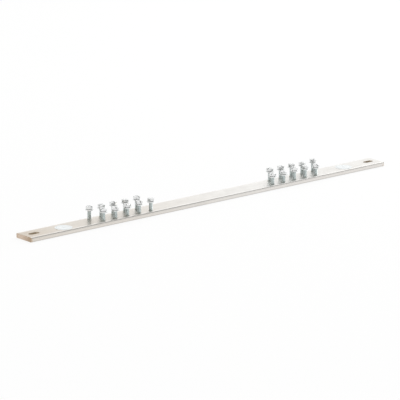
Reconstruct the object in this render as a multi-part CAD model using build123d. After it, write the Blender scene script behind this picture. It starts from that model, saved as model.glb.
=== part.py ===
"""Earth terminal bar: a tinned copper flat bar with twenty terminal screws, two fixing slots and two labels.

Millimetres. The origin is the middle of the bar's underside, X runs along the bar to the right end, Y to the back
and Z up. The bar lies on its underside, and the screws stand backed off, ready for conductors to go under the washers.
"""

from build123d import *

import os
from math import cos, radians, tan

# Bar, cut from rolled flat stock with rounded long edges
bar_length = 584.0
bar_width = 30.0
bar_thickness = 6.0
long_edge_radius = 1.2
sawn_edge_break = 0.2

# Fixing slots, one near each end of the bar
end_to_slot = 15.0
slot_width = 7.0
slot_straight = 8.0
slot_edge_break = 0.25

# Terminal positions: two staggered rows in each half of the bar
screws_in_row = 5
screw_pitch = 18.8
end_to_first_screw = 106.4
edge_to_row = 7.0

# Clear height between the bar and the washer of the highest screw, where the conductors go
grip_opening = 11.8

# Shank of the terminal screw
thread_diameter = 5.0
thread_fit_gap = 0.05
thread_engagement = 2.7
tip_taper = 0.6
neck_diameter = 4.2

# Hexagon head of the terminal screw
head_across_flats = 8.0
head_height = 3.5
head_face_step = 0.25
head_crown_angle = 30.0

# Slot and cross recess in the head
recess_slot_width = 1.4
recess_slot_depth = 1.7
recess_cross_width = 1.3
recess_cross_depth = 2.3
recess_cross_span = 4.8
recess_cross_taper = 6.0

# Captive washer on the neck of the screw
washer_diameter = 10.0
washer_thickness = 1.1
washer_bore_gap = 0.12
washer_play = 0.4
washer_edge_break = 0.25

# Countersink at both mouths of each tapped hole
countersink_depth = 0.4

# Round label near each end of the bar, stuck on a little in front of the middle
label_margin = 4.0
label_thickness = 0.35
label_edge_break = 0.1
end_to_left_label = 58.2
left_label_aside = 2.7
end_to_right_label = 60.3
right_label_aside = 1.4

# How far each head is turned, in degrees from the bar's length, from the outermost screw of a row inwards
left_back_turns = (109.0, 14.0, 84.0, 58.0, 96.0)
left_front_turns = (20.0, 66.0, 32.0, 78.0, 49.0)
right_back_turns = (62.0, 24.0, 52.0, 88.0, 12.0)
right_front_turns = (74.0, 44.0, 8.0, 56.0, 30.0)

# How much lower than the highest screw each one stands, in the same order, as the screws are backed off unevenly
left_back_drops = (0.0, 1.1, 0.9, 0.9, 0.1)
left_front_drops = (1.2, 2.5, 2.2, 1.4, 0.9)
right_back_drops = (0.0, 1.5, 0.3, 0.4, 0.2)
right_front_drops = (2.7, 1.4, 0.8, 2.7, 2.3)

# Heights of the highest screw, worked out from the sizes above
bar_top = bar_thickness
washer_seat = bar_top + grip_opening
head_seat = washer_seat + washer_thickness + washer_play
head_top = head_seat + head_height
screw_tip = bar_top - thread_engagement

# Places along and across the bar worked out from the sizes above
slot_centre = bar_length / 2 - end_to_slot
left_label_x = end_to_left_label - bar_length / 2
right_label_x = bar_length / 2 - end_to_right_label
first_screw = bar_length / 2 - end_to_first_screw
row_offset = bar_width / 2 - edge_to_row
row_stagger = screw_pitch / 2

# Radii worked out from the sizes above
thread_radius = thread_diameter / 2
tapped_hole_radius = thread_radius + thread_fit_gap
neck_radius = neck_diameter / 2
washer_radius = washer_diameter / 2
washer_bore_radius = neck_radius + washer_bore_gap
label_radius = bar_width / 2 - label_margin
head_face_radius = head_across_flats / 2 - head_face_step
head_corner_radius = head_across_flats / 2 / cos(radians(30))


def rows():
    """Name, direction from the middle, Y, distance behind the first screw, head turns and drops of each row."""
    yield "left_back", -1, row_offset, 0.0, left_back_turns, left_back_drops
    yield "left_front", -1, -row_offset, row_stagger, left_front_turns, left_front_drops
    yield "right_back", 1, row_offset, 0.0, right_back_turns, right_back_drops
    yield "right_front", 1, -row_offset, row_stagger, right_front_turns, right_front_drops


def terminals():
    """Name, place and head turn of each terminal, counted from the outermost of its row inwards."""
    for row, direction, y, inset, turns, drops in rows():
        for number in range(screws_in_row):
            x = direction * (first_screw - inset - number * screw_pitch)
            drop = drops[number % len(drops)]
            yield f"{row}_{number + 1}", Pos(x, y, -drop), turns[number % len(turns)]


def turned(profile_points):
    """Solid of revolution about Z whose half section runs through the given (radius, height) points."""
    with BuildPart() as solid:
        with BuildSketch(Plane.XZ):
            with BuildLine():
                Polyline(*profile_points, close=True)
            make_face()
        revolve(axis=Axis.Z)
    return solid.part


def tapped_hole():
    """The space of one tapped hole through the bar, with a countersink at each mouth."""
    mouth_radius = tapped_hole_radius + countersink_depth
    return turned(
        [
            (0, 0),
            (mouth_radius, 0),
            (tapped_hole_radius, countersink_depth),
            (tapped_hole_radius, bar_top - countersink_depth),
            (mouth_radius, bar_top),
            (0, bar_top),
        ]
    )


def earth_bar():
    """Flat bar: rolled section, sawn ends, two milled slots and the tapped holes of all the terminals."""
    with BuildPart() as bar:
        with BuildSketch(Plane.YZ.offset(-bar_length / 2)):
            with Locations((0, bar_thickness / 2)):
                RectangleRounded(bar_width, bar_thickness, long_edge_radius)
        extrude(amount=bar_length)
        chamfer(bar.faces().filter_by(Axis.X).edges(), sawn_edge_break)
        with BuildSketch():
            with Locations((-slot_centre, 0), (slot_centre, 0)):
                SlotCenterToCenter(slot_straight, slot_width)
        extrude(amount=bar_thickness, mode=Mode.SUBTRACT)
        flats = bar.faces().filter_by(Axis.Z)
        slot_mouths = [wire for face in flats for wire in face.inner_wires()]
        chamfer([edge for mouth in slot_mouths for edge in mouth.edges()], slot_edge_break)
        hole = tapped_hole()
        for _, place, _ in terminals():
            x, y, _ = place.position
            add(Pos(x, y, 0) * hole, mode=Mode.SUBTRACT)
    return bar.part


def hexagon_head():
    """Hexagon head with a crowned top, a round bearing face and a slot and cross recess, standing on head_seat."""
    crown_drop = (head_corner_radius - head_face_radius) * tan(radians(head_crown_angle))
    with BuildPart() as head:
        with BuildSketch(Plane.XY.offset(head_seat)):
            RegularPolygon(head_across_flats / 2, 6, major_radius=False)
        extrude(amount=head_height)
        crown = turned(
            [
                (0, head_seat),
                (head_face_radius, head_seat),
                (head_corner_radius, head_seat + crown_drop),
                (head_corner_radius, head_top - crown_drop),
                (head_face_radius, head_top),
                (0, head_top),
            ]
        )
        add(crown, mode=Mode.INTERSECT)
        with BuildSketch(Plane.XY.offset(head_top)):
            Rectangle(2 * head_corner_radius, recess_slot_width)
        extrude(amount=-recess_slot_depth, mode=Mode.SUBTRACT)
        with BuildSketch(Plane.XY.offset(head_top)):
            Rectangle(recess_cross_span, recess_cross_width)
            Rectangle(recess_cross_width, recess_cross_span)
        extrude(amount=-recess_cross_depth, taper=recess_cross_taper, mode=Mode.SUBTRACT)
    return head.part


def terminal_screw():
    """Terminal screw on the Z axis: tapered tip, threaded shank, thinner neck for the washer, and head."""
    shank = turned(
        [
            (0, screw_tip),
            (thread_radius - tip_taper, screw_tip),
            (thread_radius, screw_tip + tip_taper),
            (thread_radius, washer_seat),
            (neck_radius, washer_seat),
            (neck_radius, head_seat),
            (0, head_seat),
        ]
    )
    return shank + hexagon_head()


def captive_washer():
    """Flat washer on the Z axis, stamped so that its upper rim is broken, resting on the start of the thread."""
    with BuildPart() as washer:
        with BuildSketch(Plane.XY.offset(washer_seat)):
            Circle(washer_radius)
            Circle(washer_bore_radius, mode=Mode.SUBTRACT)
        extrude(amount=washer_thickness)
        upper_rim = washer.edges().filter_by(GeomType.CIRCLE).group_by(Axis.Z)[-1].sort_by(SortBy.RADIUS)[-1]
        chamfer(upper_rim, washer_edge_break)
    return washer.part


def round_label():
    """Round label lying on the bar's upper face, centred on the Z axis."""
    with BuildPart() as label:
        with BuildSketch(Plane.XY.offset(bar_top)):
            Circle(label_radius)
        extrude(amount=label_thickness)
        chamfer(label.edges().group_by(Axis.Z)[-1], label_edge_break)
    return label.part


def save(solid, name):
    """Write one piece to its own file."""
    export_step(solid, os.path.join("parts", f"{name}.step"))


os.makedirs("parts", exist_ok=True)
save(earth_bar(), "earth_bar")
screw = terminal_screw()
washer = captive_washer()
for name, place, turn in terminals():
    save(place * Rot(0, 0, turn) * screw, f"screw_{name}")
    save(place * washer, f"washer_{name}")
label = round_label()
save(Pos(left_label_x, -left_label_aside, 0) * label, "label_left")
save(Pos(right_label_x, -right_label_aside, 0) * label, "label_right")
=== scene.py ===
"""Dresses the earth terminal bar: tinned copper bar, terminal screws, captive washers and round labels.

Every length is in metres, in the frame of the solids: X along the bar, Y to the back row of screws and Z up
from the surface that the bar lies on.
"""

from __future__ import annotations

import logging
import math
from collections.abc import Callable, Iterator
from dataclasses import dataclass, field
from enum import Enum

import bmesh
import bpy
from mathutils import Matrix, Vector


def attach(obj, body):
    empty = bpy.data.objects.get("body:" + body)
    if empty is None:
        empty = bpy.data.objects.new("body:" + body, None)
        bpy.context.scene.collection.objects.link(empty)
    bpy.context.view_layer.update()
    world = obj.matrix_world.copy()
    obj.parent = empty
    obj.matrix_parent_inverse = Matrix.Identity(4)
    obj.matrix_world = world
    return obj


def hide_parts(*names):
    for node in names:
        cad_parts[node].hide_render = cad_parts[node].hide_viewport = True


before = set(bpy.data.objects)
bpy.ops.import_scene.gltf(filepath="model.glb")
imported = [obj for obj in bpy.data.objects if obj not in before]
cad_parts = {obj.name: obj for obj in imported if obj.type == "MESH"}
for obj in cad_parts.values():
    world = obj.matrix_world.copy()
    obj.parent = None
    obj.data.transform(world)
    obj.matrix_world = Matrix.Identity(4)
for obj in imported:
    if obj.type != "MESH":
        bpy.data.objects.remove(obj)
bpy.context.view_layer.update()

log = logging.getLogger("earth_bar")

Point = tuple[float, float, float]
Colour = tuple[float, float, float]
Span = tuple[float, float]
Piece = bpy.types.Object
Material = bpy.types.Material
Socket = bpy.types.NodeSocket
Test = Callable[..., bool]

MM = 0.001
# Points closer than this are one point
SAME_POINT = 0.0001 * MM
# Heights and places closer than this are the same
SAME_LEVEL = 0.001 * MM
# A face looks along an axis if its normal has at least this share there
FACING = 0.9


def mm(*lengths: float) -> tuple[float, ...]:
    """Lengths given in millimetres, in metres."""
    return tuple(length * MM for length in lengths)


class Side(Enum):
    """The two ends of the bar, with their direction along X."""

    LEFT = -1
    RIGHT = 1


class RowPlace(Enum):
    """The two staggered rows of terminals in each half of the bar, with their direction along Y."""

    BACK = 1
    FRONT = -1


class Cut(Enum):
    """How one closed mesh is combined with another."""

    TAKE_AWAY = "DIFFERENCE"
    KEEP_COMMON = "INTERSECT"
    JOIN = "UNION"


class BarFinish(Enum):
    """The finishes of the bar, in the order of its material slots."""

    PLATED = 0
    SAWN = 1
    MILLED = 2


class Element(Enum):
    """What is selected in edit mode."""

    FACE = "FACE"
    EDGE = "EDGE"


# Workbench: selecting, adding primitives, shaping and combining meshes


def pick(*pieces: Piece) -> None:
    """Make the given pieces the only selected ones, and the first of them the active one."""
    for other in bpy.context.selected_objects:
        other.select_set(False)
    for piece in pieces:
        piece.select_set(True)
    bpy.context.view_layer.objects.active = pieces[0]


def discard(piece: Piece) -> None:
    """Delete a piece that is used up."""
    bpy.data.objects.remove(piece, do_unlink=True)


def settle(piece: Piece) -> Piece:
    """Move a piece's place, turn and size from its object into its mesh, and give it back."""
    pick(piece)
    bpy.ops.object.transform_apply(location=True, rotation=True, scale=True)
    return piece


def add_rod(name: str, radius: float, low: float, high: float, segments: int, turn: float = 0.0) -> Piece:
    """Add an upright round or many-sided rod on the Z axis.

    Args:
        name: Name of the new object.
        radius: Radius to the corners.
        low: Height of its lower end.
        high: Height of its upper end.
        segments: Number of sides.
        turn: Turn about Z in degrees, where 0 has a corner on +X.

    Returns:
        The new object.
    """
    spot, turned = (0, 0, (low + high) / 2), (0, 0, math.radians(turn - 90.0))
    bpy.ops.mesh.primitive_cylinder_add(
        vertices=segments, radius=radius, depth=high - low, location=spot, rotation=turned
    )
    rod = bpy.context.object
    rod.name = name
    return settle(rod)


def add_block(name: str, low: Point, high: Point) -> Piece:
    """Add a rectangular block between two opposite corners.

    Args:
        name: Name of the new object.
        low: Lowest corner.
        high: Highest corner.

    Returns:
        The new object.
    """
    bpy.ops.mesh.primitive_cube_add(size=1, location=[(a + b) / 2 for a, b in zip(low, high)])
    block = bpy.context.object
    block.name = name
    block.scale = [b - a for a, b in zip(low, high)]
    return settle(block)


def select(piece: Piece, element: Element, wanted: Test) -> None:
    """Open a piece in edit mode with only the elements selected that a test accepts.

    Args:
        piece: The piece to open.
        element: What the test is asked about.
        wanted: Test for one face or edge.
    """
    pick(piece)
    bpy.ops.object.mode_set(mode="EDIT")
    bpy.ops.mesh.select_mode(type=element.value)
    mesh = bmesh.from_edit_mesh(piece.data)
    elements = mesh.faces if element is Element.FACE else mesh.edges
    for one in elements:
        one.select_set(False)
    for one in elements:
        if wanted(one):
            one.select_set(True)
    bmesh.update_edit_mesh(piece.data)


def leave_edit() -> None:
    """Return from edit mode."""
    bpy.ops.object.mode_set(mode="OBJECT")


def at_level(element: bmesh.types.BMEdge | bmesh.types.BMFace, height: float) -> bool:
    """Whether an edge or a face lies level at a height."""
    return all(abs(vertex.co.z - height) < SAME_LEVEL for vertex in element.verts)


def round_edges(piece: Piece, wanted: Test, width: float, steps: int) -> None:
    """Bevel the edges that a test accepts, to a width and with a number of steps across it."""
    select(piece, Element.EDGE, wanted)
    bpy.ops.mesh.bevel(offset=width, segments=steps, affect="EDGES", clamp_overlap=True)
    leave_edit()


def raise_and_shrink(piece: Piece, height: float, rise: float, shrink: float) -> None:
    """Extrude the flat end face at a height along Z and scale it about the Z axis.

    Args:
        piece: The piece to work on.
        height: Height of the end face.
        rise: How far it moves up, or down where negative.
        shrink: Scale of the moved face across the axis.
    """
    select(piece, Element.FACE, lambda face: at_level(face, height))
    bpy.ops.mesh.extrude_region_move(TRANSFORM_OT_translate={"value": (0, 0, rise)})
    bpy.ops.transform.resize(value=(shrink, shrink, 1), center_override=(0, 0, height + rise))
    leave_edit()


def finish_modifier(piece: Piece, kind: str, **settings: object) -> None:
    """Add a modifier with the given settings and apply it.

    Args:
        piece: The piece to work on.
        kind: The modifier's type.
        **settings: Its settings by name.
    """
    pick(piece)
    modifier = piece.modifiers.new(kind.title(), kind)
    for key, value in settings.items():
        setattr(modifier, key, value)
    bpy.ops.object.modifier_apply(modifier=modifier.name)


def combine(piece: Piece, other: Piece, cut: Cut) -> None:
    """Combine a piece with another closed mesh, which is used up."""
    finish_modifier(piece, "BOOLEAN", object=other, operation=cut.value, solver="EXACT")
    discard(other)


def put_together(pieces: list[Piece]) -> Piece:
    """Make one object of several pieces that don't meet, and give it back."""
    pick(*pieces)
    bpy.ops.object.join()
    return pieces[0]


def merge_doubles(piece: Piece) -> None:
    """Merge the points of a piece that coincide, and turn its faces outwards."""
    select(piece, Element.FACE, lambda face: True)
    bpy.ops.mesh.remove_doubles(threshold=SAME_POINT)
    bpy.ops.mesh.normals_make_consistent(inside=False)
    leave_edit()


def trim_level(piece: Piece, height: float, outward: int) -> None:
    """Cut a piece off level at a height and close the cut.

    Args:
        piece: The piece to work on.
        height: Height of the cut.
        outward: What goes: 1 for all above the cut, -1 for all below it.
    """
    select(piece, Element.FACE, lambda face: True)
    bpy.ops.mesh.bisect(
        plane_co=(0, 0, height),
        plane_no=(0, 0, outward),
        use_fill=True,
        clear_outer=True,
        threshold=SAME_POINT,
    )
    bpy.ops.mesh.select_all(action="SELECT")
    bpy.ops.mesh.normals_make_consistent(inside=False)
    leave_edit()


def tidy_surface(piece: Piece, sharp_angle: float) -> None:
    """Merge doubles, shade smooth up to an angle, weight the normals by face area and split many-sided faces.

    Args:
        piece: The piece to work on.
        sharp_angle: Edges sharper than this many degrees stay crisp.
    """
    merge_doubles(piece)
    bpy.ops.object.shade_smooth_by_angle(angle=math.radians(sharp_angle), keep_sharp_edges=False)
    finish_modifier(piece, "WEIGHTED_NORMAL", mode="FACE_AREA", weight=100, keep_sharp=True)
    finish_modifier(piece, "TRIANGULATE", min_vertices=5, keep_custom_normals=True)


def copy_to(piece: Piece, name: str, place: Point, turn: float = 0.0) -> Piece:
    """Copy a piece with a mesh of its own, turned about Z and moved in its mesh.

    Args:
        piece: The piece to copy.
        name: Name of the copy.
        place: How far the copy is moved from the piece.
        turn: Turn about its own axis in degrees.

    Returns:
        The copy, with its object at the origin.
    """
    copy = bpy.data.objects.new(name, piece.data.copy())
    bpy.context.scene.collection.objects.link(copy)
    copy.data.transform(Matrix.Translation(place) @ Matrix.Rotation(math.radians(turn), 4, "Z"))
    return copy


# Finishes: one class per surface, each of which builds its own node material


class NodeBoard:
    """A node tree with short calls for adding nodes."""

    def __init__(self, tree: bpy.types.NodeTree) -> None:
        """Start with an empty tree."""
        self.tree = tree
        self.tree.nodes.clear()

    def feed(self, socket: Socket, value: object) -> None:
        """Link a socket to another or set its own value, unless there is none."""
        if isinstance(value, Socket):
            self.tree.links.new(value, socket)
        elif value is not None:
            socket.default_value = value

    def add(self, kind: str, inputs: dict[str | int, object], **settings: object) -> bpy.types.Node:
        """Add one node.

        Args:
            kind: Its type, without the words that every shader node starts with.
            inputs: What its inputs get, by name or number.
            **settings: Its settings by name.

        Returns:
            The node.
        """
        node = self.tree.nodes.new(f"ShaderNode{kind}")
        for key, value in settings.items():
            setattr(node, key, value)
        for key, value in inputs.items():
            self.feed(node.inputs[key], value)
        return node

    def work(self, operation: str, *values: object) -> Socket:
        """Result of one Math node."""
        return self.add("Math", dict(enumerate(values)), operation=operation).outputs["Value"]

    def step(
        self, value: Socket, low: float, high: float, out_low: float = 0.0, out_high: float = 1.0
    ) -> Socket:
        """A smooth step from one level to another as a value passes from low to high."""
        inputs = {"Value": value, "From Min": low, "From Max": high, "To Min": out_low, "To Max": out_high}
        return self.add("MapRange", inputs, interpolation_type="SMOOTHSTEP").outputs["Result"]

    def step_towards(self, way: Vector, span: Span, levels: Span) -> Socket:
        """A smooth step over the sky, as the cosine of the angle to a direction passes through a span."""
        inputs = {0: self.add("TexCoord", {}).outputs["Generated"], 1: way}
        cosine = self.add("VectorMath", inputs, operation="DOT_PRODUCT").outputs["Value"]
        return self.step(cosine, *span, *levels)


class NodeSheet(NodeBoard):
    """A material's node tree, with the patterns and mixtures that the finishes use."""

    def __init__(self, name: str) -> None:
        """Start a material with a Principled shader and its output."""
        self.material = bpy.data.materials.new(name)
        self.material.use_nodes = True
        super().__init__(self.material.node_tree)
        self.shader = self.add("BsdfPrincipled", {})
        self.output = self.add("OutputMaterial", {"Surface": self.shader.outputs["BSDF"]})
        self.place = self.add("TexCoord", {}).outputs["Object"]

    def finished(
        self, colour: Socket, roughness: Socket | float, normal: Socket | None = None, metallic: float = 0.0
    ) -> Material:
        """Feed the shader.

        Args:
            colour: Base colour.
            roughness: Roughness, a pattern or one value.
            normal: Disturbed normal, if there is one.
            metallic: How much of a metal the surface is.

        Returns:
            The material.
        """
        wanted = {"Base Color": colour, "Roughness": roughness, "Normal": normal, "Metallic": metallic}
        for key, value in wanted.items():
            self.feed(self.shader.inputs[key], value)
        return self.material

    def mapped(self, scale: Point, turn: Point = (0, 0, 0), shift: Point = (0, 0, 0)) -> Socket:
        """The object's own coordinates, turned in degrees and then scaled and shifted."""
        inputs = {"Vector": self.place, "Rotation": [math.radians(angle) for angle in turn]}
        turned = self.add("Mapping", inputs).outputs["Vector"]
        return self.add("Mapping", {"Vector": turned, "Scale": scale, "Location": shift}).outputs["Vector"]

    def noise(self, at: Socket, scale: float, detail: float, rough: float) -> Socket:
        """Soft noise from 0 to 1."""
        inputs = {"Vector": at, "Scale": scale, "Detail": detail, "Roughness": rough}
        return self.add("TexNoise", inputs).outputs["Fac"]

    def axis(self, name: str) -> Socket:
        """One of the object's own coordinates, X, Y or Z."""
        return self.add("SeparateXYZ", {"Vector": self.place}).outputs[name]

    def total(self, base: Socket | float, *parts: tuple[Socket, float]) -> Socket:
        """A base value plus each given pattern times its weight."""
        for pattern, weight in parts:
            base = self.work("MULTIPLY_ADD", pattern, weight, base)
        return base

    def blend(self, share: Socket, first: Socket | Colour, second: Socket | Colour) -> Socket:
        """Two colours mixed by a share of the second."""
        node = self.add("Mix", {"Factor": share}, data_type="RGBA")
        for socket, value in zip([s for s in node.inputs if s.type == "RGBA"], (first, second)):
            self.feed(socket, (*value, 1.0) if isinstance(value, tuple) else value)
        return [s for s in node.outputs if s.type == "RGBA"][0]

    def bump(self, height: Socket, depth: float, strength: float, under: Socket | None = None) -> Socket:
        """A normal disturbed by a height, in metres of depth, over another disturbed normal."""
        inputs = {"Strength": strength, "Distance": depth, "Height": height, "Normal": under}
        return self.add("Bump", inputs).outputs["Normal"]


class PlateSheet(NodeSheet):
    """The plating's node sheet: its patterns, and the distances from the bar's edges and ends."""

    def __init__(self, plating: TinPlating) -> None:
        """Lay out the patterns and distances.

        Args:
            plating: The plating, which knows the size of the bar.
        """
        super().__init__("tin_plating")
        self.blotches = self.noise(self.mapped((1, 2.2, 2.2)), 55.0, 4.0, 0.6)
        self.clouds = self.noise(self.mapped((1, 1.3, 1.3)), 310.0, 4.0, 0.62)
        self.rolling = self.noise(self.mapped((9, 1400, 1400)), 1.0, 3.0, 0.65)
        rubbed = self.step(self.noise(self.mapped((60, 2600, 2600), (0, 0, 4)), 1.0, 2.0, 0.5), 0.62, 0.7)
        nicked = self.step(self.noise(self.mapped((90, 1900, 1900), (0, 0, -38)), 1.0, 1.0, 0.4), 0.7, 0.76)
        self.scratches = self.work("MAXIMUM", rubbed, nicked)
        self.inwards = self.work("SUBTRACT", plating.half_width, self.work("ABSOLUTE", self.axis("Y")))
        self.down = self.work("SUBTRACT", plating.thickness, self.axis("Z"))
        self.from_left = self.work("ADD", self.axis("X"), plating.half_length)
        self.from_end = self.work("SUBTRACT", plating.half_length, self.work("ABSOLUTE", self.axis("X")))
        self.on_side = self.step(self.inwards, 0.05 * MM, 0.6 * MM, 1.0, 0.0)


@dataclass(frozen=True)
class TinPlating:
    """Satin tin on rolled copper: blotches, rolling lines, scratches, tarnish by the left end, filed bare
    corners, and painted light: a sheen along the top's long edges, lifted sides, shade on the sides and a
    dark line on the rounded long edges.
    """

    clean: Colour = (0.785, 0.775, 0.75)
    dull: Colour = (0.72, 0.705, 0.68)
    # Used for the scratches and also for the painted sheen on the top along the long edges
    bright: Colour = (0.93, 0.92, 0.9)
    tarnish: Colour = (0.635, 0.585, 0.52)
    browned: Colour = (0.5, 0.4, 0.28)
    # The sides' own warmer tone, also set lighter than the top's as painted light on the sides
    side_tone_and_lift: Colour = (0.86, 0.83, 0.795)
    tarnished_tone_and_lift: Colour = (0.815, 0.765, 0.7)
    # Dark grey for the painted shade on the sides and the painted dark reflection line along the rounded long
    # edges
    painted_edge_shade: Colour = (0.45, 0.445, 0.43)
    bare_copper: Colour = (0.62, 0.49, 0.36)
    half_length: float = 292.0 * MM
    half_width: float = 15.0 * MM
    thickness: float = 6.0 * MM
    raggedness: float = 60.0 * MM
    brown_reach: tuple[float, ...] = mm(24.0, 95.0)
    tarnish_reach: tuple[float, ...] = mm(50.0, 420.0)
    film_reach: tuple[float, ...] = mm(110.0, 190.0)

    def material(self) -> Material:
        """Build the node material."""
        sheet = PlateSheet(self)
        colour = self._painted_shade_and_filed_corners(sheet, self._tarnish_and_painted_light(sheet, self._fresh(sheet)))
        rough = sheet.total(
            0.18, (sheet.blotches, 0.14), (sheet.clouds, 0.16), (sheet.rolling, 0.12), (sheet.scratches, 0.14)
        )
        lines = sheet.bump(sheet.rolling, 0.016 * MM, 0.4)
        return sheet.finished(colour, rough, sheet.bump(sheet.scratches, 0.02 * MM, 0.5, lines), metallic=1.0)

    def _fresh(self, sheet: PlateSheet) -> Socket:
        """Colour of the tin as rolled and handled."""
        colour = sheet.blend(sheet.step(sheet.blotches, 0.35, 0.7), self.clean, self.dull)
        colour = sheet.blend(sheet.step(sheet.clouds, 0.45, 0.7, 0.0, 0.5), colour, self.dull)
        colour = sheet.blend(sheet.step(sheet.rolling, 0.5, 0.72, 0.0, 0.5), colour, self.dull)
        return sheet.blend(sheet.work("MULTIPLY", sheet.scratches, 0.3), colour, self.bright)

    def _tarnish_and_painted_light(self, sheet: PlateSheet, colour: Socket) -> Socket:
        """Brown the left end, film the right one, paint a light sheen on the top along the long edges, and
        give the sides a warmer tone that is partly painted light.
        """
        ragged = sheet.total(sheet.from_left, (sheet.blotches, self.raggedness))
        filmed = sheet.step(sheet.axis("X"), *self.film_reach, 0.0, 0.08)
        tarnished = sheet.work("MAXIMUM", sheet.step(ragged, *self.tarnish_reach, 0.85, 0.0), filmed)
        browned = sheet.step(ragged, *self.brown_reach, 0.38, 0.0)
        colour = sheet.blend(tarnished, colour, self.tarnish)
        colour = sheet.blend(browned, colour, self.browned)
        # Painted highlight: a lighter sheen on the top along both long edges
        colour = sheet.blend(sheet.step(sheet.inwards, 1.4 * MM, 5.0 * MM, 0.42, 0.0), colour, self.bright)
        # The sides' colour: partly their own warmer tone, partly painted light that lifts them
        side_colour = sheet.blend(tarnished, self.side_tone_and_lift, self.tarnished_tone_and_lift)
        side_colour = sheet.blend(sheet.work("MULTIPLY", browned, 0.25), side_colour, self.browned)
        return sheet.blend(sheet.on_side, colour, side_colour)

    def _painted_shade_and_filed_corners(self, sheet: PlateSheet, colour: Socket) -> Socket:
        """Paint shade on the sides, paint a dark reflection line along the rounded long edges and bare the
        copper at the corners of the sawn ends.
        """
        # Painted shade on the sides: darker just under the top edge, and darker again towards the bottom edge
        painted_upper_shade = sheet.step(sheet.down, 0.8 * MM, 4.0 * MM, 0.25, 0.0)
        painted_lower_shade = sheet.step(sheet.down, 3.6 * MM, 5.0 * MM, 0.0, 0.4)
        painted_side_shade = sheet.work("ADD", painted_upper_shade, painted_lower_shade)
        colour = sheet.blend(sheet.work("MULTIPLY", sheet.on_side, painted_side_shade), colour, self.painted_edge_shade)
        # Painted dark reflection: a dark line along the rounded upper long edges, stronger towards the left
        # end
        low_edge = sheet.total(sheet.work("MULTIPLY", sheet.down, 0.75), (sheet.inwards, 1.35))
        kept = sheet.step(sheet.total(low_edge, (sheet.rolling, 0.3 * MM)), 0.9 * MM, 1.25 * MM)
        shade_and_wear_share = sheet.step(sheet.from_left, 0.0, 2.0 * self.half_length, 0.6, 0.35)
        painted_edge_line = sheet.work("MULTIPLY", shade_and_wear_share, sheet.work("SUBTRACT", 1.0, kept))
        colour = sheet.blend(painted_edge_line, colour, self.painted_edge_shade)
        filed = sheet.total(sheet.from_end, (sheet.blotches, 1.5 * MM), (sheet.down, -0.42))
        bare = sheet.work("MULTIPLY", sheet.step(filed, 0.9 * MM, 1.8 * MM, 1.0, 0.0), sheet.on_side)
        return sheet.blend(sheet.work("MULTIPLY", bare, shade_and_wear_share), colour, self.bare_copper)


@dataclass(frozen=True)
class SawnCopper:
    """Bare copper left by the saw: brownish, matt, with fine steep blade marks and smears of tin."""

    clean: Colour = (0.67, 0.54, 0.435)
    dark: Colour = (0.42, 0.31, 0.21)
    smear: Colour = (0.78, 0.71, 0.64)
    blade_turn: Point = (58, 0, 0)

    def material(self) -> Material:
        """Build the node material."""
        sheet = NodeSheet("sawn_copper")
        marks = sheet.noise(sheet.mapped((1, 110, 6200), self.blade_turn), 1.0, 3.0, 0.65)
        patches = sheet.noise(sheet.place, 200.0, 2.0, 0.5)
        smears = sheet.noise(sheet.mapped((1, 0.3, 2.2), self.blade_turn, (3, 1, 2)), 320.0, 2.0, 0.5)
        colour = sheet.blend(sheet.step(patches, 0.4, 0.75, 0.0, 0.4), self.clean, self.dark)
        colour = sheet.blend(sheet.step(marks, 0.5, 0.66, 0.0, 0.3), colour, self.dark)
        front = sheet.total(sheet.axis("Y"), (patches, 8.0 * MM))
        colour = sheet.blend(sheet.step(front, -13.0 * MM, 10.0 * MM, 0.95, 0.0), colour, self.dark)
        colour = sheet.blend(sheet.step(smears, 0.56, 0.72, 0.0, 0.45), colour, self.smear)
        rough = sheet.total(0.26, (marks, 0.25))
        return sheet.finished(colour, rough, sheet.bump(marks, 0.05 * MM, 0.8), metallic=1.0)


@dataclass(frozen=True)
class MilledCopper:
    """Bare copper inside the slots and tapped holes: dull olive brown with upright cutter marks."""

    clean: Colour = (0.625, 0.545, 0.43)
    dark: Colour = (0.42, 0.355, 0.265)

    def material(self) -> Material:
        """Build the node material."""
        sheet = NodeSheet("milled_copper")
        marks = sheet.noise(sheet.mapped((1500, 1500, 60)), 1.0, 2.0, 0.6)
        patches = sheet.noise(sheet.place, 350.0, 3.0, 0.6)
        colour = sheet.blend(sheet.step(patches, 0.4, 0.7), self.clean, self.dark)
        rough = sheet.total(0.38, (marks, 0.18))
        return sheet.finished(colour, rough, sheet.bump(marks, 0.01 * MM, 0.4), metallic=0.85)


@dataclass(frozen=True)
class ZincPlating:
    """Bright zinc, a little dull in patches, turning below a height to a darker blue-green: partly a
    passivation tint, partly painted shade on the shank.
    """

    name: str
    clean: Colour
    dull: Colour
    tint_and_shade: Colour
    tint_and_shade_below: float
    least_roughness: float = 0.15

    def material(self) -> Material:
        """Build the node material."""
        sheet = NodeSheet(self.name)
        patches = sheet.noise(sheet.place, 620.0, 4.0, 0.65)
        grain = sheet.noise(sheet.place, 5200.0, 2.0, 0.5)
        rubbed = sheet.noise(sheet.mapped((350, 3800, 2600), (20, 30, 25)), 1.0, 1.0, 0.4)
        rubs = sheet.step(rubbed, 0.64, 0.74)
        colour = sheet.blend(sheet.step(patches, 0.36, 0.68), self.clean, self.dull)
        # Below the given height: darker blue-green, partly a tint and partly painted shade that makes the
        # shank darker than the head
        height = sheet.total(sheet.axis("Z"), (patches, 1.5 * MM))
        low = sheet.step(height, self.tint_and_shade_below - MM, self.tint_and_shade_below + MM, 1.0, 0.0)
        colour = sheet.blend(low, colour, self.tint_and_shade)
        rough = sheet.total(self.least_roughness, (patches, 0.18), (grain, 0.05), (rubs, 0.1))
        relief = sheet.bump(grain, 0.005 * MM, 0.45)
        return sheet.finished(colour, rough, sheet.bump(rubs, 0.008 * MM, 0.35, relief), metallic=1.0)


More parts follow.
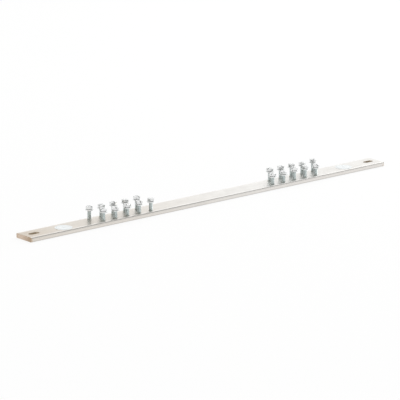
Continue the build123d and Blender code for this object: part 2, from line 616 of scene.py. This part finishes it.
@dataclass(frozen=True)
class LabelFilm:
    """White plastic film with a faint cool tint and a slight unevenness of the adhesive below it."""

    white: Colour = (0.88, 0.91, 0.915)
    shaded: Colour = (0.84, 0.87, 0.875)

    def material(self) -> Material:
        """Build the node material."""
        sheet = NodeSheet("label_film")
        waves = sheet.noise(sheet.place, 160.0, 2.0, 0.5)
        fibres = sheet.noise(sheet.place, 4200.0, 2.0, 0.6)
        colour = sheet.blend(sheet.step(waves, 0.35, 0.7), self.white, self.shaded)
        rough = sheet.total(0.4, (fibres, 0.12))
        relief = sheet.bump(waves, 0.08 * MM, 0.3)
        return sheet.finished(colour, rough, sheet.bump(fibres, 0.004 * MM, 0.3, relief))


@dataclass(frozen=True)
class PrintedInk:
    """Thin blue-grey print, slightly uneven in cover."""

    full: Colour = (0.4, 0.47, 0.49)
    thin: Colour = (0.54, 0.61, 0.63)

    def material(self) -> Material:
        """Build the node material."""
        sheet = NodeSheet("printed_ink")
        cover = sheet.noise(sheet.place, 1500.0, 3.0, 0.6)
        colour = sheet.blend(sheet.step(cover, 0.4, 0.7), self.full, self.thin)
        return sheet.finished(colour, sheet.total(0.42, (cover, 0.15)))


SCREW_ZINC = ZincPlating(
    name="screw_zinc",
    clean=(0.83, 0.835, 0.83),
    dull=(0.71, 0.72, 0.72),
    tint_and_shade=(0.67, 0.715, 0.71),
    tint_and_shade_below=17.0 * MM,
)
WASHER_ZINC = ZincPlating(
    name="washer_zinc",
    clean=(0.86, 0.87, 0.865),
    dull=(0.78, 0.795, 0.79),
    tint_and_shade=(0.8, 0.84, 0.83),
    tint_and_shade_below=13.0 * MM,
)


# Sub-assemblies


@dataclass
class ThreadForm:
    """A metric coarse thread for M5, cut as a helix that climbs to the right."""

    pitch: float = 0.8 * MM
    crest_radius: float = 2.5 * MM
    root_radius: float = 2.04 * MM
    crest_share: float = 0.14
    base_share: float = 0.84
    steps_per_turn: int = 28

    def rod(self, name: str, low: float, high: float, extra: float = 0.0) -> Piece:
        """Model a threaded rod on the Z axis, with its crests at X at whole pitches above the origin.

        The thread's outline is wound past both ends, and the winding is cut off level there.

        Args:
            name: Name of the new object.
            low: Height of its lower end.
            high: Height of its upper end.
            extra: How much larger in radius it is than the screw, as for the tap that cuts a hole.

        Returns:
            A closed mesh with flat ends.
        """
        first_turn = math.floor(low / self.pitch) - 1
        turns = math.ceil(high / self.pitch) + 1 - first_turn
        root, crest = self.root_radius + extra, self.crest_radius + extra
        half_base = (self.base_share * self.pitch + extra) / 2
        half_crest = (self.crest_share * self.pitch + extra) / 2
        upper = ((crest, half_crest), (root, half_base), (root, self.pitch / 2))
        outline = [(radius, -rise) for radius, rise in reversed(upper)] + list(upper)
        bpy.ops.mesh.primitive_circle_add(vertices=len(outline), fill_type="NOTHING", location=(0, 0, 0))
        rod = bpy.context.object
        rod.name = name
        for vertex, (radius, rise) in zip(rod.data.vertices, outline):
            vertex.co = (radius, 0, first_turn * self.pitch + rise)
        select(rod, Element.EDGE, lambda edge: edge.calc_length() > 0.9 * self.pitch)
        bpy.ops.mesh.delete(type="EDGE")
        leave_edit()
        steps = {"steps": self.steps_per_turn, "render_steps": self.steps_per_turn}
        finish_modifier(
            rod, "SCREW", axis="Z", angle=math.tau, screw_offset=self.pitch, iterations=turns, **steps
        )
        merge_doubles(rod)
        trim_level(rod, low, -1)
        trim_level(rod, high, 1)
        return rod


@dataclass
class TerminalScrew:
    """The terminal screw: tapered tip, thread, neck, and a crowned hexagon head with a slot and cross."""

    tip: float = 3.3 * MM
    shoulder: float = 17.8 * MM
    head_seat: float = 19.3 * MM
    head_top: float = 22.8 * MM
    neck_radius: float = 2.1 * MM
    tip_taper: float = 0.6 * MM
    across_flats: float = 8.0 * MM
    face_step: float = 0.25 * MM
    crown_angle: float = 30.0
    slot_width: float = 1.4 * MM
    slot_depth: float = 1.7 * MM
    cross_width: float = 1.3 * MM
    cross_depth: float = 2.3 * MM
    cross_span: float = 4.8 * MM
    cross_taper: float = 6.0
    edge_softness: float = 0.07 * MM
    softened_above: float = 25.0
    over: float = 0.1 * MM
    cutter_over: float = 0.5 * MM
    neck_overlap: float = 0.3 * MM
    thread: ThreadForm = field(default_factory=ThreadForm)

    def pattern(self) -> Piece:
        """Model one screw on the Z axis at its height above the bar.

        Returns:
            The finished screw, ready to be copied.
        """
        screw = self._shank()
        combine(screw, self._head(), Cut.JOIN)
        tidy_surface(screw, 30.0)
        screw.name = "screw_pattern"
        return screw

    def _shank(self) -> Piece:
        """Model the threaded shank with its tapered tip and the neck above it."""
        shank = self.thread.rod("shank", self.tip - 0.15 * MM, self.shoulder)
        wide = self.thread.crest_radius + self.over
        narrow = self.thread.crest_radius - self.tip_taper
        taper_top = self.tip + self.tip_taper
        envelope = add_rod("tip_envelope", wide, taper_top, self.shoulder + MM, segments=40)
        raise_and_shrink(envelope, taper_top, -self.tip_taper, narrow / wide)
        combine(shank, envelope, Cut.KEEP_COMMON)
        low, high = self.shoulder - self.neck_overlap, self.head_seat + self.neck_overlap
        combine(shank, add_rod("neck", self.neck_radius, low, high, segments=32), Cut.JOIN)
        return shank

    def _head(self) -> Piece:
        """Model the hexagon head with its crown and recess.

        The crown stands clear of the hexagon's corners and ends, so that no faces or edges coincide.

        Returns:
            The head, with its edges softened.
        """
        corner = self.across_flats / 2 / math.cos(math.radians(30))
        face = self.across_flats / 2 - self.face_step
        wide = corner + self.over
        drop = (wide - face) * math.tan(math.radians(self.crown_angle))
        head = add_rod("hexagon", corner, self.head_seat - self.over, self.head_top + self.over, segments=6)
        crown = add_rod("crown", wide, self.head_seat + drop, self.head_top - drop, segments=72, turn=2.5)
        raise_and_shrink(crown, self.head_top - drop, drop, face / wide)
        raise_and_shrink(crown, self.head_seat + drop, -drop, face / wide)
        combine(head, crown, Cut.KEEP_COMMON)
        reach, half_slot = corner + MM, self.slot_width / 2
        low = (-reach, -half_slot, self.head_top - self.slot_depth)
        high = (reach, half_slot, self.head_top + self.cutter_over)
        combine(head, add_block("slot", low, high), Cut.TAKE_AWAY)
        for wing_turn in (0.0, 90.0):
            combine(head, self._cross_wing(wing_turn), Cut.TAKE_AWAY)
        merge_doubles(head)
        crisp = math.radians(self.softened_above)
        finish_modifier(
            head, "BEVEL", width=self.edge_softness, segments=2, limit_method="ANGLE", angle_limit=crisp
        )
        merge_doubles(head)
        return head

    def _cross_wing(self, turn: float) -> Piece:
        """Model the cutter for one wing of the cross, narrower towards its floor.

        Args:
            turn: Turn about the screw's axis in degrees.

        Returns:
            The cutter.
        """
        reach, half = self.cross_span / 2, self.cross_width / 2
        floor = self.head_top - self.cross_depth
        lean = self.cross_depth * math.tan(math.radians(self.cross_taper))
        shares = ((reach - lean) / reach, (half - lean) / half, 1)
        wing = add_block("cross_wing", (-reach, -half, floor), (reach, half, self.head_top))
        select(wing, Element.FACE, lambda face: face.normal.z < -FACING)
        bpy.ops.transform.resize(value=shares, center_override=(0, 0, floor))
        leave_edit()
        select(wing, Element.FACE, lambda face: face.normal.z > FACING)
        bpy.ops.mesh.extrude_region_move(TRANSFORM_OT_translate={"value": (0, 0, self.cutter_over)})
        leave_edit()
        wing.rotation_euler = (0, 0, math.radians(turn))
        return settle(wing)


@dataclass
class CaptiveWasher:
    """The flat washer on the neck of each screw, stamped with a rounded upper rim."""

    low: float = 17.8 * MM
    high: float = 18.9 * MM
    radius: float = 5.0 * MM
    bore_radius: float = 2.22 * MM
    rim_round: float = 0.25 * MM
    bore_round: float = 0.12 * MM

    def pattern(self) -> Piece:
        """Model one washer on the Z axis.

        Returns:
            The finished washer, ready to be copied.
        """
        washer = add_rod("washer_pattern", self.radius, self.low, self.high, segments=72)
        bore = add_rod("washer_bore", self.bore_radius, self.low - MM, self.high + MM, segments=40)
        combine(washer, bore, Cut.TAKE_AWAY)
        round_edges(washer, lambda edge: self._on_rim(edge, self.radius, self.high), self.rim_round, 4)
        round_edges(washer, lambda edge: self._on_rim(edge, self.radius, self.low), self.bore_round, 2)
        round_edges(washer, lambda edge: self._on_rim(edge, self.bore_radius, self.high), self.bore_round, 2)
        tidy_surface(washer, 40.0)
        return washer

    @staticmethod
    def _on_rim(edge: bmesh.types.BMEdge, radius: float, height: float) -> bool:
        """Whether an edge lies on the circle of a radius at a height."""
        on_circle = all(abs(vertex.co.xy.length - radius) < 0.02 * MM for vertex in edge.verts)
        return on_circle and at_level(edge, height)


@dataclass(frozen=True)
class TerminalRow:
    """One row: turns of its heads in degrees and drops below the highest screw, outermost screw first."""

    side: Side
    place: RowPlace
    turns: tuple[float, ...]
    drops: tuple[float, ...]


@dataclass
class TerminalField:
    """The twenty terminals: two staggered rows of five in each half of the bar."""

    pitch: float = 18.8 * MM
    first: float = 185.6 * MM
    row_offset: float = 8.0 * MM
    rows: tuple[TerminalRow, ...] = (
        TerminalRow(Side.LEFT, RowPlace.BACK, (109.0, 14.0, 84.0, 58.0, 96.0), mm(0.0, 1.1, 0.9, 0.9, 0.1)),
        TerminalRow(Side.LEFT, RowPlace.FRONT, (20.0, 66.0, 32.0, 78.0, 49.0), mm(1.2, 2.5, 2.2, 1.4, 0.9)),
        TerminalRow(Side.RIGHT, RowPlace.BACK, (62.0, 24.0, 52.0, 88.0, 12.0), mm(0.0, 1.5, 0.3, 0.4, 0.2)),
        TerminalRow(Side.RIGHT, RowPlace.FRONT, (74.0, 44.0, 8.0, 56.0, 30.0), mm(2.7, 1.4, 0.8, 2.7, 2.3)),
    )
    screw: TerminalScrew = field(default_factory=TerminalScrew)
    washer: CaptiveWasher = field(default_factory=CaptiveWasher)

    def places(self) -> Iterator[tuple[str, Point, float]]:
        """Name, place and head turn of each terminal, counted from the outermost of its row inwards.

        The place is how far the screw stands from the pattern: along, across and down.
        """
        for row in self.rows:
            inset = 0.0 if row.place is RowPlace.BACK else self.pitch / 2
            for number, (turn, drop) in enumerate(zip(row.turns, row.drops)):
                x = row.side.value * (self.first - inset - number * self.pitch)
                name = f"{row.side.name}_{row.place.name}_{number + 1}".lower()
                yield name, (x, row.place.value * self.row_offset, -drop), turn

    def build(self, screw_finish: Material, washer_finish: Material) -> list[Piece]:
        """Model all the screws and washers and dress them.

        Args:
            screw_finish: Material of the screws.
            washer_finish: Material of the washers.

        Returns:
            The screws and washers.
        """
        screw_pattern = self.screw.pattern()
        screw_pattern.data.materials.append(screw_finish)
        washer_pattern = self.washer.pattern()
        washer_pattern.data.materials.append(washer_finish)
        pieces = []
        for name, place, turn in self.places():
            screw = copy_to(screw_pattern, f"terminal_screw_{name}", place, turn)
            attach(screw, "root")
            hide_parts(f"screw_{name}")
            washer = copy_to(washer_pattern, f"captive_washer_{name}", place, turn)
            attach(washer, "root")
            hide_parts(f"washer_{name}")
            pieces += [screw, washer]
        discard(screw_pattern)
        discard(washer_pattern)
        return pieces


@dataclass
class FlatBar:
    """The bar: rolled with rounded long edges, sawn ends, two milled slots and twenty tapped holes."""

    length: float = 584.0 * MM
    width: float = 30.0 * MM
    thickness: float = 6.0 * MM
    long_edge_radius: float = 1.2 * MM
    sawn_round: float = 0.4 * MM
    end_to_slot: float = 15.0 * MM
    slot_width: float = 7.0 * MM
    slot_straight: float = 8.0 * MM
    slot_break: float = 0.25 * MM
    countersink: float = 0.4 * MM
    hole_extra: float = 0.03 * MM
    cutter_over: float = 0.2 * MM
    largest_hole_face: float = 4.0 * MM * MM

    @property
    def slot_centre(self) -> float:
        """How far the middle of each slot is from the middle of the bar."""
        return self.length / 2 - self.end_to_slot

    def build(self, terminals: TerminalField, finishes: list[Material]) -> Piece:
        """Model and dress the bar.

        Args:
            terminals: The terminals, which say where the tapped holes are and what thread they have.
            finishes: The materials, in the order of BarFinish.

        Returns:
            The finished bar.
        """
        bar = self._blank()
        self._cut_slots(bar)
        for finish in finishes:
            bar.data.materials.append(finish)
        self._cut_holes(bar, terminals)
        tidy_surface(bar, 32.0)
        self._mark_bare_copper(bar, terminals)
        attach(bar, "root")
        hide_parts("earth_bar")
        return bar

    def _blank(self) -> Piece:
        """Model the blank: a block with its long edges and its sawn edges rounded."""
        half_length, half_width = self.length / 2, self.width / 2
        bar = add_block("flat_bar", (-half_length, -half_width, 0), (half_length, half_width, self.thickness))
        round_edges(bar, lambda edge: edge.calc_length() > half_length, self.long_edge_radius, 7)
        round_edges(bar, self._at_sawn_end, self.sawn_round, 3)
        merge_doubles(bar)
        return bar

    def _at_sawn_end(self, edge: bmesh.types.BMEdge) -> bool:
        """Whether an edge lies in the plane of a sawn end."""
        return all(abs(abs(vertex.co.x) - self.length / 2) < SAME_LEVEL for vertex in edge.verts)

    def _cut_slots(self, bar: Piece) -> None:
        """Mill the two slots and break the edges of their mouths."""
        for side in Side:
            centre = side.value * self.slot_centre
            cutter = add_rod("slot_cutter", self.slot_width / 2, -MM, self.thickness + MM, segments=64)
            for vertex in cutter.data.vertices:
                vertex.co.x += math.copysign(self.slot_straight / 2, vertex.co.x) + centre
            combine(bar, cutter, Cut.TAKE_AWAY)
        round_edges(bar, self._at_slot_mouth, self.slot_break, 2)

    def _in_slot(self, spot: Vector, spare: float) -> bool:
        """Whether a spot lies, in plan, within the length and width of a slot with some to spare."""
        past_end = abs(abs(spot.x) - self.slot_centre) - (self.slot_straight + self.slot_width) / 2
        past_wall = abs(spot.y) - self.slot_width / 2
        return past_end < spare and past_wall < spare

    def _at_slot_mouth(self, edge: bmesh.types.BMEdge) -> bool:
        """Whether an edge goes round a slot on the upper or lower face."""
        near = all(self._in_slot(vertex.co, 0.1 * MM) for vertex in edge.verts)
        return near and (at_level(edge, 0.0) or at_level(edge, self.thickness))

    def _tap(self, thread: ThreadForm) -> Piece:
        """Model the tap that cuts one hole: a threaded rod with a countersink at each mouth.

        Args:
            thread: The thread of the screws.

        Returns:
            The tap, on the Z axis.
        """
        tap = thread.rod("tap", -self.cutter_over, self.thickness + self.cutter_over, self.hole_extra)
        hole_radius = thread.crest_radius + self.hole_extra
        grow = (hole_radius + self.countersink + self.cutter_over) / hole_radius
        for mouth, outward in ((0.0, -1), (self.thickness, 1)):
            end = mouth + outward * self.cutter_over
            low, high = sorted((mouth - outward * self.countersink, end))
            cone = add_rod("countersink", hole_radius, low, high, segments=40)
            select(cone, Element.FACE, lambda face: face.normal.z * outward > FACING)
            bpy.ops.transform.resize(value=(grow, grow, 1), center_override=(0, 0, end))
            leave_edit()
            combine(tap, cone, Cut.JOIN)
        return tap

    def _cut_holes(self, bar: Piece, terminals: TerminalField) -> None:
        """Tap the holes of all the terminals, each with the phase of its own screw's thread."""
        thread = terminals.screw.thread
        tap = self._tap(thread)
        taps = [
            copy_to(tap, "tap_copy", (x, y, 0), turn - 360.0 * z / thread.pitch)
            for _, (x, y, z), turn in terminals.places()
        ]
        discard(tap)
        combine(bar, put_together(taps), Cut.TAKE_AWAY)

    def _mark_bare_copper(self, bar: Piece, terminals: TerminalField) -> None:
        """Give the sawn ends and the walls of the slots and holes their bare copper."""
        holes = [(x, y) for _, (x, y, _), _ in terminals.places()]
        hole_reach = terminals.screw.thread.crest_radius + self.countersink + 0.1 * MM
        for face in bar.data.polygons:
            middle = face.center
            in_hole = any(math.hypot(middle.x - x, middle.y - y) < hole_reach for x, y in holes)
            if abs(face.normal.x) > FACING and abs(middle.x) > self.length / 2 - 0.05 * MM:
                face.material_index = BarFinish.SAWN.value
            elif self._in_slot(middle, 0.02 * MM) or (in_hole and face.area < self.largest_hole_face):
                face.material_index = BarFinish.MILLED.value


@dataclass
class RoundLabel:
    """A round film label with a printed ring and the plain earth symbol."""

    left_spot: Point = mm(-233.8, -2.7, 0)
    right_spot: Point = mm(231.7, -1.4, 0)
    radius: float = 11.0 * MM
    low: float = 6.0 * MM
    thickness: float = 0.35 * MM
    edge_round: float = 0.1 * MM
    ring_radius: float = 9.0 * MM
    line_width: float = 0.28 * MM
    ink_height: float = 0.02 * MM
    bar_lengths: tuple[float, ...] = mm(4.8, 3.2, 1.6)
    bar_spacing: float = 1.0 * MM
    stem_length: float = 2.8 * MM

    def build(self, side: Side, film: Material, ink: Material) -> list[Piece]:
        """Model and dress one label.

        Args:
            side: The end of the bar that it is on.
            film: Material of the label.
            ink: Material of the print.

        Returns:
            The label and its print.
        """
        name = side.name.lower()
        spot = self.left_spot if side is Side.LEFT else self.right_spot
        top = self.low + self.thickness
        disc = add_rod("disc", self.radius, self.low, top, segments=128)
        round_edges(disc, lambda edge: at_level(edge, top), self.edge_round, 3)
        tidy_surface(disc, 40.0)
        label = copy_to(disc, f"round_label_{name}", spot)
        discard(disc)
        label.data.materials.append(film)
        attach(label, "root")
        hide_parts(f"label_{name}")
        marks = self._print(top)
        ink_piece = copy_to(marks, f"label_print_{name}", spot)
        discard(marks)
        ink_piece.data.materials.append(ink)
        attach(ink_piece, "root")
        return [label, ink_piece]

    def _print(self, top: float) -> Piece:
        """Model the ring and the earth symbol as thin flat solids.

        Args:
            top: Height of the label's upper face.

        Returns:
            All the print of one label as one object.
        """
        high = top + self.ink_height
        half_line = self.line_width / 2
        ring = add_rod("print_ring", self.ring_radius + half_line, top, high, segments=128)
        hole = add_rod("print_ring_hole", self.ring_radius - half_line, top - MM, high + MM, segments=128)
        combine(ring, hole, Cut.TAKE_AWAY)
        marks = [ring]
        for number, length in enumerate(self.bar_lengths):
            y = -number * self.bar_spacing
            low, far = (-length / 2, y - half_line, top), (length / 2, y + half_line, high)
            marks.append(add_block("print_bar", low, far))
        stem_low, stem_far = (-half_line, half_line, top), (half_line, self.stem_length, high)
        marks.append(add_block("print_stem", stem_low, stem_far))
        return put_together(marks)


# Studio


@dataclass
class PhotoCamera:
    """A long lens that looks along the bar from the front left, a little above it."""

    azimuth: float = 40.34
    elevation: float = 14.69
    distance: float = 3756.3 * MM
    aim: Point = (0.0, 0.0, 6.0 * MM)
    aside: float = 10.8 * MM
    below: float = 5.4 * MM
    focal_pixels: float = 2972.0
    frame_pixels: float = 400.0
    sensor: float = 36.0
    farthest: float = 50.0

    def build(self) -> None:
        """Make the camera and set it as the scene's."""
        turn, tilt = math.radians(self.azimuth), math.radians(self.elevation)
        level = Vector((math.sin(turn), math.cos(turn), 0))
        right = Vector((math.cos(turn), -math.sin(turn), 0))
        ahead = level * math.cos(tilt) - Vector((0, 0, 1)) * math.sin(tilt)
        above = level * math.sin(tilt) + Vector((0, 0, 1)) * math.cos(tilt)
        data = bpy.data.cameras.new("camera")
        data.sensor_width = self.sensor
        data.lens = self.sensor * self.focal_pixels / self.frame_pixels
        data.clip_end = self.farthest
        camera = bpy.data.objects.new("camera", data)
        bpy.context.scene.collection.objects.link(camera)
        spot = Vector(self.aim) - ahead * self.distance - right * self.aside - above * self.below
        turned = Matrix((right, above, -ahead)).transposed()
        camera.matrix_world = Matrix.Translation(spot) @ turned.to_4x4()
        bpy.context.scene.camera = camera


@dataclass(frozen=True)
class SkyPart:
    """A darker part of the surround: full up to the core's angle from its direction, gone at the spread's."""

    way: Point
    spread: float
    level: float
    core: float = 12.0


@dataclass
class Studio:
    """A pale floor, a white surround with three darker parts, and a soft lamp."""

    floor_size: float = 14.0
    floor_gap: float = 0.02 * MM
    floor_colour: Colour = (0.96, 0.96, 0.955)
    floor_grain: float = 0.995
    floor_roughness: float = 0.9
    shadow_share: float = 0.2
    overhead: float = 1.2
    horizon: float = 1.22
    horizon_band: Span = (0.1, 0.6)
    parts: tuple[SkyPart, ...] = (
        SkyPart((-0.2, 0.95, 0.25), 50.0, 0.3),
        SkyPart((0.62, -0.67, 0.4), 42.0, 0.3),
        SkyPart((-0.48, -0.72, 0.5), 34.0, 0.35),
    )
    lamp_spot: Point = (1.8, 0.0, 0.75)
    lamp_size: float = 1.2
    lamp_watts: float = 8.0

    def build(self) -> None:
        """Make the floor, the surround and the lamp."""
        self._floor()
        self._surround()
        self._lamp()

    def _floor(self) -> None:
        """Lay the floor just under the bar: white to the camera and in reflections, with a light shadow."""
        bpy.ops.mesh.primitive_plane_add(size=self.floor_size, location=(0, 0, -self.floor_gap))
        floor = bpy.context.object
        floor.name = "floor"
        sheet = NodeSheet("pale_floor")
        grain = sheet.noise(sheet.place, 40.0, 2.0, 0.5)
        bright = sheet.blend(grain, self.floor_colour, tuple(c * self.floor_grain for c in self.floor_colour))
        material = sheet.finished(bright, self.floor_roughness)
        sheet.feed(sheet.shader.inputs["Specular IOR Level"], 0.0)
        rays = sheet.add("LightPath", {}).outputs
        seen = sheet.work("MAXIMUM", rays["Is Camera Ray"], rays["Is Glossy Ray"])
        seen = sheet.work("MAXIMUM", seen, rays["Is Transmission Ray"])
        share = sheet.work("MULTIPLY", seen, 1.0 - self.shadow_share)
        white = sheet.add("Emission", {"Strength": 1.0}).outputs["Emission"]
        either = sheet.add("MixShader", {0: share, 1: sheet.shader.outputs["BSDF"], 2: white})
        sheet.feed(sheet.output.inputs["Surface"], either.outputs["Shader"])
        settle(floor)
        floor.data.materials.append(material)

    def _surround(self) -> None:
        """Set a white surround, a little brighter at the horizon, with darker parts round the bar."""
        world = bpy.data.worlds.new("surround")
        bpy.context.scene.world = world
        world.use_nodes = True
        board = NodeBoard(world.node_tree)
        levels = (self.horizon, self.overhead)
        strength = board.step_towards(Vector((0, 0, 1)), self.horizon_band, levels)
        for part in self.parts:
            span = (math.cos(math.radians(part.spread)), math.cos(math.radians(part.core)))
            shade = board.step_towards(Vector(part.way).normalized(), span, (1.0, part.level))
            strength = board.work("MULTIPLY", strength, shade)
        background = board.add("Background", {"Color": (1, 1, 1, 1), "Strength": strength})
        board.add("OutputWorld", {"Surface": background.outputs["Background"]})

    def _lamp(self) -> None:
        """Hang a square soft lamp to the right of the bar, pointed at its middle."""
        data = bpy.data.lights.new("right_softbox", "AREA")
        data.size = self.lamp_size
        data.energy = self.lamp_watts
        lamp = bpy.data.objects.new("right_softbox", data)
        bpy.context.scene.collection.objects.link(lamp)
        lamp.location = self.lamp_spot
        lamp.rotation_euler = (-Vector(self.lamp_spot)).to_track_quat("-Z", "Y").to_euler()


def report(*pieces: Piece) -> None:
    """Log the name and number of faces of each piece."""
    for piece in pieces:
        log.info("%s: %d faces", piece.name, len(piece.data.polygons))


def main() -> None:
    """Build the camera, the pieces and the studio, in that order."""
    logging.basicConfig(level=logging.INFO, format="%(name)s: %(message)s")
    PhotoCamera().build()
    bar_finishes = [TinPlating().material(), SawnCopper().material(), MilledCopper().material()]
    screw_zinc, washer_zinc = SCREW_ZINC.material(), WASHER_ZINC.material()
    film, ink = LabelFilm().material(), PrintedInk().material()
    terminals = TerminalField()
    report(FlatBar().build(terminals, bar_finishes))
    report(*terminals.build(screw_zinc, washer_zinc))
    for side in Side:
        report(*RoundLabel().build(side, film, ink))
    Studio().build()
    bpy.context.scene.view_settings.view_transform = "Standard"


if __name__ == "__main__":
    main()
